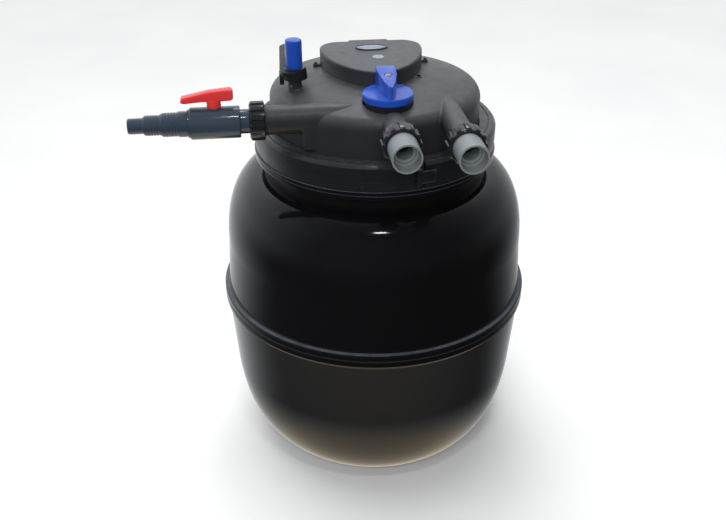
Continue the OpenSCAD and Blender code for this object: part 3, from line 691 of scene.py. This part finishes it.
def union_nut(tail_r, length, collar):
    """A ribbed nut from z = 0, its open end, to z = length, its lip, its first part plain."""
    per_rib = 24

    def outline(lift, z, swell=1.0):
        points = []
        for i in range(RIBS * per_rib):
            a = 2 * math.pi * i / (RIBS * per_rib)
            phase = abs((i % per_rib) - per_rib / 2) / (per_rib / 2)
            rib = min(1.0, max(0.0, (phase - 0.4) / 0.2))
            rib = rib * rib * (3 - 2 * rib)
            r = NUT_R - 1.6 + lift + 2.4 * rib * swell
            points.append((r * math.cos(a), r * math.sin(a), z))
        return points

    rings = [outline(-2.0, 0, 0), outline(-1.2, 0.8, 0)]
    if collar:
        rings += [outline(-1.2, collar - 1.6, 0), outline(-2.4, collar - 1.0, 0),
                  outline(-2.4, collar, 0)]
    rings += [outline(-0.8, collar + 0.6, 0.2), outline(0, collar + 1.6), outline(0, length - 3.6),
              outline(-0.3, length - 2.2, 0.8), outline(-0.8, length - 1.2, 0.2),
              outline(-1.4, length - 0.5, 0.0), outline(-2.6, length, 0.0)]
    inner = [[(r * math.cos(2 * math.pi * i / (RIBS * per_rib)),
               r * math.sin(2 * math.pi * i / (RIBS * per_rib)), z) for i in range(RIBS * per_rib)]
             for r, z in ((tail_r + 0.9, length), (tail_r + 0.3, length - 0.6),
                          (tail_r + 0.3, length / 2 + 7.2), (NUT_BORE, length / 2 + 7.2),
                          (NUT_BORE, 0.6), (NUT_BORE + 0.6, 0))]
    vertices, faces = stack(rings + inner, False)
    count, last = RIBS * per_rib, (len(rings) + len(inner) - 1) * RIBS * per_rib
    faces += [[last + i, last + (i + 1) % count, (i + 1) % count, i] for i in range(count)]
    return vertices, faces


def socket(length):
    """A grey hose socket from z = 0, its collar, to z = length, its mouth."""
    profile = soften([(13, 0), (24.4, 0), (24.4, 3.5), (23, 4.2), (23, length), (20, length),
                      (20, length - 22), (16.5, length - 22), (16.5, length - 27),
                      (13, length - 27)], 0.7, 4)
    return lathe(profile, 128)


for side, x, nut_y, mouth_y in (("left", 8, -232, -293), ("right", 103, -246.5, -306)):
    nut_place = shift(x, nut_y + PORT_NUT_LEN / 2, PORT_Z) @ ALONG_Y
    piece(side + "_nut_ribbed", moved(union_nut(23, PORT_NUT_LEN, 8), nut_place),
          side + "_union_nut", sharp=38)
    collar_y = nut_y - 3.5
    piece(side + "_socket_grey",
          moved(socket(collar_y - mouth_y), shift(x, collar_y, PORT_Z) @ ALONG_Y),
          side + "_socket", sharp=38)
NUT_X = -201.8
piece("inlet_nut_ribbed",
      moved(union_nut(19, INLET_NUT_LEN, 0),
            shift(NUT_X + INLET_NUT_LEN / 2, -PIPE_Y, PORT_Z) @ ALONG_X),
      "inlet_union_nut", sharp=38)


def barbs(start, end, radius, count, depth):
    """Profile points of a hose tail's ribs, each rising towards the valve."""
    pitch = (end - start) / count
    points = []
    for k in range(count):
        z = start + k * pitch
        points += [(radius, z), (radius - 0.1, z + pitch * 0.3), (radius - depth, z + pitch * 0.92)]
    return points + [(radius, end)]


tail = ([(20, 310), (20, 323)] + barbs(323.6, 345.8, 19, 5, 0.9) + [(17, 350.5)]
        + barbs(351, 372.9, 16, 5, 0.8) + [(14, 377)]
        + barbs(377.4, 398, 12.5, 5, 0.7) + [(11.3, 401), (9.5, 401)])
nozzle = (soften([(9.5, -287.2), (19.3, -287.2), (19.3, -306), (22, -306), (22, -309)],
                 0.5, 3, False)
          + soften([(r, -z) for r, z in tail], 0.25, 2, False))
piece("stepped_nozzle", moved(lathe([(r, -z) for r, z in nozzle], 128),
                              shift(0, -PIPE_Y, PORT_Z) @ ALONG_X), "hose_nozzle", sharp=34)

body = soften([(13, 205.3), (24.4, 205.3), (24.4, 208.8), (19, 208.8), (19, 228),
               (23.6, 228), (25, 229.6), (25, 303.5), (23.6, 305.9),
               (19.4, 306), (19.4, 247.3), (13, 247.3)], 0.8, 4)
piece("valve_body_turned", joined(
    moved(lathe(body, 128), shift(0, -PIPE_Y, PORT_Z) @ ALONG_X),
    moved(lathe(soften([(5.6, 700), (11.5, 700), (11.5, 708.8), (5.6, 708.8)], 0.8), 64),
          VALVE_AXIS)), "ball_valve_body", sharp=34)


def extruded(outline, half, edge=1.6, steps=4):
    """An outline in the XZ plane, extruded to both sides of it, its edges rounded."""
    centre = Vector((sum(p[0] for p in outline) / len(outline),
                     sum(p[1] for p in outline) / len(outline)))

    def ring(inset, y):
        made = []
        for i, p in enumerate(outline):
            a, b = Vector(outline[i - 1]), Vector(outline[(i + 1) % len(outline)])
            tangent = (b - a).normalized()
            normal = Vector((-tangent.y, tangent.x))
            if normal.dot(centre - Vector(p)) < 0:
                normal = -normal
            made.append((p[0] + normal.x * inset, y, p[1] + normal.y * inset))
        return made

    rings = []
    for k in range(steps + 1):
        a = math.pi / 2 * k / steps
        rings.append(ring(edge * (1 - math.sin(a)), -half + edge * (1 - math.cos(a))))
    return stack(rings + [[(x, -y, z) for x, y, z in ring] for ring in rings[::-1]])


lever = soften([(-50.5, 719), (-49, 726.6), (-34, 729.5), (-8, 735), (24, 738), (28, 737.4),
                (30.5, 734), (30.5, 723), (27, 720.2), (12, 719.5), (-20, 719.5), (-44, 717.5)],
               2.5, 4, True, 6)
piece("lever_moulding", moved(joined(
    extruded(lever, 8, 2.2),
    lathe(soften([(5.5, 709.4), (11, 709.2), (11, 722), (5.5, 722)], 0.6), 64)),
    VALVE_AXIS), "valve_lever", sharp=40)

# ---------------------------------------------------------------- selector
KNOB = shift(4.5, -119.5, 0)
KNOB_R, KNOB_Z, GRIP_H = 40.6, 722, 31.5


def grip():
    """The arrow-shaped grip: waisted sides, a top that falls towards the tip."""
    plan = soften([(-15.5, 39.2), (15.5, 39.2), (14.5, 4), (9.5, -18), (2.5, -36), (0, -37.6),
                   (-2.5, -36), (-9.5, -18), (-14.5, 4)], 2.0, 4, True, 4)
    centre = Vector((0, 5))

    def top(y):
        return KNOB_Z + GRIP_H - 2 - max(0.0, 10 - y) * math.tan(math.radians(11))

    def ring(share, z):
        return [(centre.x + (x - centre.x) * share, centre.y + (y - centre.y) * share, z(y))
                for x, y in plan]

    rings = [ring(1.0, lambda y: KNOB_Z - 1), ring(1.0, lambda y: KNOB_Z + 0.5),
             ring(0.985, lambda y: KNOB_Z + 2)]
    for k in range(5):
        a = math.pi / 2 * k / 4
        rings.append(ring(0.985 - 0.055 * (1 - math.cos(a)),
                          lambda y, a=a: top(y) - 1.6 * (1 - math.sin(a))))
    return stack(rings)


piece("selector_knob_moulding", moved(joined(
    lathe(soften([(8, 709.9), (39.4, 709.9), (KNOB_R, 711.2), (KNOB_R, 719.6), (39.2, 721.8),
                  (8, 721.8)], 0.9, 4), 160),
    hollowed(grip(), lathe([(0, 744.6), (6.3, 744.6), (6.3, 760), (0, 760)], 48, False))),
    KNOB), "selector_knob", sharp=38)
screw_head = lathe([(0, 744.7), (5.7, 744.7), (6.0, 747.2), (5.4, 749.0), (3.8, 750.3),
                    (1.9, 750.9), (0, 751.1)], 48, False)
slot_block = block(-3.4, 3.4, -0.6, 0.6, 749.4, 754, 0.2)
piece("selector_screw_head",
      moved(hollowed(hollowed(screw_head, slot_block), moved(slot_block, spin("Z", 90))), KNOB),
      "selector_screw", sharp=38)

# ---------------------------------------------------------------- crank
CRANK = shift(-137, -33, 0)


def crank_arm():
    """The lever's arm, rising to the back, as a softened slot-shaped bar."""
    def ring(t_z, inset, thicker=0.0):
        made = []
        for k in range(48):
            a = 2 * math.pi * k / 48
            end = 1 if math.sin(a) > 0 else 0
            r = (16.5 if end else 19.5) - inset
            made.append((r * math.cos(a) - 5, r * math.sin(a) + (51 if end else -2),
                         t_z + (20 + thicker) * end))
        return made
    return stack([ring(728, 1.2), ring(728.4, 0.4), ring(729.2, 0), ring(734.4, 0, 2),
                  ring(735.4, 0.5, 2), ring(736, 1.8, 2)])


def crank_skirt():
    """The arm's conical skirt and the plate that hangs from its outer side."""
    return joined(lathe(soften([(7, 721), (21.5, 721), (18.6, 739.6), (13.6, 739.6), (13.6, 735.8),
                                (7, 735.8)], 0.8, 4), 96),
                  block(-25, -17.5, -9, 11, 712.5, 730.5, 1.6))


piece("crank_moulding", moved(joined(crank_skirt(), crank_arm()), CRANK), "crank_handle", sharp=38)
piece("crank_grip_moulding", moved(lathe(
    soften([(0, 736), (13.5, 736), (13.5, 783.4), (11, 784.6), (0, 785.4)], 1.6, 5, False),
    96, False), CRANK), "crank_grip", sharp=50)

# ---------------------------------------------------------------- foam
FOAM_VOXEL, FOAM_DEPTH = 5.0, 1.6


def foam_disc(number):
    """A soft disc inside its CAD solid: cut edges drawn in, its surface never quite flat."""
    node = "foam_disc_%d" % number
    low, high = (Vector(corner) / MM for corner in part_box(node))
    temporary = bpy.data.objects.new("foam_temporary", frame["nodes"][node].data.copy())
    scene.collection.objects.link(temporary)
    voxels = temporary.modifiers.new("voxels", "REMESH")
    voxels.mode = "VOXEL"
    voxels.voxel_size = FOAM_VOXEL * MM
    settle = temporary.modifiers.new("settle", "SMOOTH")
    settle.factor = 0.5
    settle.iterations = 4
    made = bpy.data.meshes.new_from_object(
        temporary.evaluated_get(bpy.context.evaluated_depsgraph_get()))
    bpy.data.objects.remove(temporary)
    middle = (low.z + high.z) / 2
    half = (high.z - low.z) / 2
    outer, inner = 180.0, 60.0
    for vertex in made.vertices:
        x, y, z = (c / MM for c in vertex.co)
        r = math.hypot(x, y)
        wander = 0.5 + 0.5 * noise.noise(Vector((x * 0.03, y * 0.03, z * 0.05 + number)))
        edge = max(0.0, 1 - (outer - r) / 14)
        draw = FOAM_DEPTH * (0.15 + 0.6 * wander) + 3.0 * edge * edge
        z = middle + (z - middle) * (half - draw) / half
        flat = 1 - abs(z - middle) / half
        if r > outer - 12:
            new_r = r - (FOAM_DEPTH * wander + 1.2 * (1 - min(1.0, flat * 2.5)))
            x, y = x * new_r / r, y * new_r / r
        elif r < inner + 8:
            new_r = r + 0.4 + 0.6 * wander
            x, y = x * new_r / r, y * new_r / r
        vertex.co = (x * MM, y * MM, z * MM)
    dress(made, "foam_%d_soft" % number, node, sharp=60)


for number in range(1, 7):
    foam_disc(number)

# ---------------------------------------------------------------- badge
BADGE_Y, BADGE_STEPS = 48, 96


def badge_ring(scale_x, scale_y, z):
    return [(scale_x * math.cos(2 * math.pi * i / BADGE_STEPS),
             BADGE_Y + scale_y * math.sin(2 * math.pi * i / BADGE_STEPS), z)
            for i in range(BADGE_STEPS)]


piece("badge_rim", stack([badge_ring(28, 15, 739.4), badge_ring(28, 15, 741.7),
                          badge_ring(27.4, 14.4, 742.3), badge_ring(26.6, 13.6, 742.4),
                          badge_ring(25.6, 12.6, 741.8), badge_ring(25.4, 12.4, 740.6)]),
      "cover_badge", sharp=50, slot="cover_black")
piece("badge_plate", stack([badge_ring(25.3, 12.3, 740.7), badge_ring(25.2, 12.2, 741.5),
                            badge_ring(24.6, 11.6, 741.9), badge_ring(16, 7.5, 742.2),
                            badge_ring(6, 2.8, 742.3)]), "cover_badge", sharp=50)

# ---------------------------------------------------------------- small trim
for node, bevel in (("uv_cover_screws", 0.3), ("lever_screw", 0.3),
                    ("crank_screw", 0.4), ("cable_gland", 0.5),
                    ("selector_bonnet", 0.6), ("indicator_lens", 0.5)):
    refined(node, bevel)

# ---------------------------------------------------------------- stage and light
floor_mesh = bpy.data.meshes.new("floor")
floor_mesh.from_pydata([(-12, -8, 0), (12, -8, 0), (12, 14, 0), (-12, 14, 0)], [], [[0, 1, 2, 3]])
floor = bpy.data.objects.new("floor", floor_mesh)
scene.collection.objects.link(floor)
floor_shader = Shader("studio_floor")
floor_shader.link(floor_shader.mix(floor_shader.span(floor_shader.noise(2, 3), 0, 1),
                                   linear((240, 240, 240)), linear((246, 246, 245))),
                  floor_shader.bsdf.inputs["Base Color"])
floor_shader.set(Roughness=0.9, Specular_IOR_Level=0.1)
floor_mesh.materials.append(floor_shader.material)
# The floor shows to the camera only: the world's ground band stands in for it on the object
floor.visible_diffuse = False
floor.visible_glossy = False
floor.visible_shadow = False

world = bpy.data.worlds.new("studio")
scene.world = world
world.use_nodes = True
sky = world.node_tree
background = sky.nodes["Background"]
direction = sky.nodes.new("ShaderNodeTexCoord").outputs["Generated"]
split = sky.nodes.new("ShaderNodeSeparateXYZ")
sky.links.new(direction, split.inputs[0])


def sky_span(source, low, high, start, end):
    """A smooth change from one value to another along one direction of the sky."""
    made = sky.nodes.new("ShaderNodeMapRange")
    made.interpolation_type = "SMOOTHSTEP"
    for key, value in (("From Min", start), ("From Max", end), ("To Min", low), ("To Max", high)):
        made.inputs[key].default_value = value
    sky.links.new(source, made.inputs["Value"])
    return made.outputs[0]


def sky_times(*sources):
    total = sources[0]
    for source in sources[1:]:
        made = sky.nodes.new("ShaderNodeMath")
        made.operation = "MULTIPLY"
        sky.links.new(total, made.inputs[0])
        sky.links.new(source, made.inputs[1])
        total = made.outputs[0]
    return total


def sky_mix(factor, low, high):
    made = sky.nodes.new("ShaderNodeMix")
    for source, index in ((factor, 0), (low, 2), (high, 3)):
        sky.links.new(source, made.inputs[index])
    return made.outputs[0]


# A bright room behind and to the sides, darker overhead and in front, and a warm band below,
# fitted to one view: from above, the glossy lower shell mirrors the band and looks tan
COOL_LIGHT, WARM_GROUND, GROUND_STRENGTH = (0.95, 0.98, 1.0, 1.0), (1.0, 0.88, 0.66, 1.0), 1.15
behind = sky_mix(sky_span(split.outputs["Z"], 0.0, 1.0, -0.35, 0.05),
                 sky_span(split.outputs["Y"], 0.085, 0.95, -0.1, 0.95),
                 sky_span(split.outputs["Y"], 0.16, 1.15, -0.7, 0.85))
overhead = sky_span(split.outputs["Z"], 1.0, 0.45, 0.55, 0.95)
sides = sky_span(split.outputs["X"], 1.15, 0.6, -1.0, 1.0)
ground = sky_span(split.outputs["Z"], 1.0, 0.0, -0.9, -0.66)
blend = sky.nodes.new("ShaderNodeMix")
blend.data_type = "RGBA"
sky.links.new(ground, blend.inputs[0])
blend.inputs[6].default_value = COOL_LIGHT
blend.inputs[7].default_value = WARM_GROUND
strength = sky.nodes.new("ShaderNodeMix")
sky.links.new(ground, strength.inputs[0])
sky.links.new(sky_times(behind, overhead, sides), strength.inputs[2])
strength.inputs[3].default_value = GROUND_STRENGTH
sky.links.new(blend.outputs[2], background.inputs["Color"])
sky.links.new(strength.outputs[0], background.inputs["Strength"])


def area_light(name, place, aim, size, energy, shiny=True):
    data = bpy.data.lights.new(name, "AREA")
    data.shape = "RECTANGLE"
    data.size, data.size_y = size
    data.energy = energy
    light = bpy.data.objects.new(name, data)
    scene.collection.objects.link(light)
    light.visible_glossy = shiny
    light.location = place
    light.rotation_mode = "QUATERNION"
    light.rotation_quaternion = (Vector(aim) - Vector(place)).to_track_quat("-Z", "Y")


sun_data = bpy.data.lights.new("soft_sun", "SUN")
sun_data.energy = 1.7
sun_data.angle = math.radians(50)
sun = bpy.data.objects.new("soft_sun", sun_data)
scene.collection.objects.link(sun)
sun.visible_glossy = False
sun.rotation_mode = "QUATERNION"
sun.rotation_quaternion = Vector((0.1, -0.35, -1.0)).to_track_quat("-Z", "Y")

area_light("front_fill", (-0.5, -2.2, 1.7), (0.0, 0.0, 0.55), (1.6, 1.2), 36, False)
area_light("shoulder_light", (0.0, -1.45, 2.95), (0.0, -0.24, 0.48), (0.34, 0.12), 8.0)
area_light("back_window", (0.25, 1.38, 2.7), (0.0, -0.12, 0.75), (0.9, 0.5), 11)
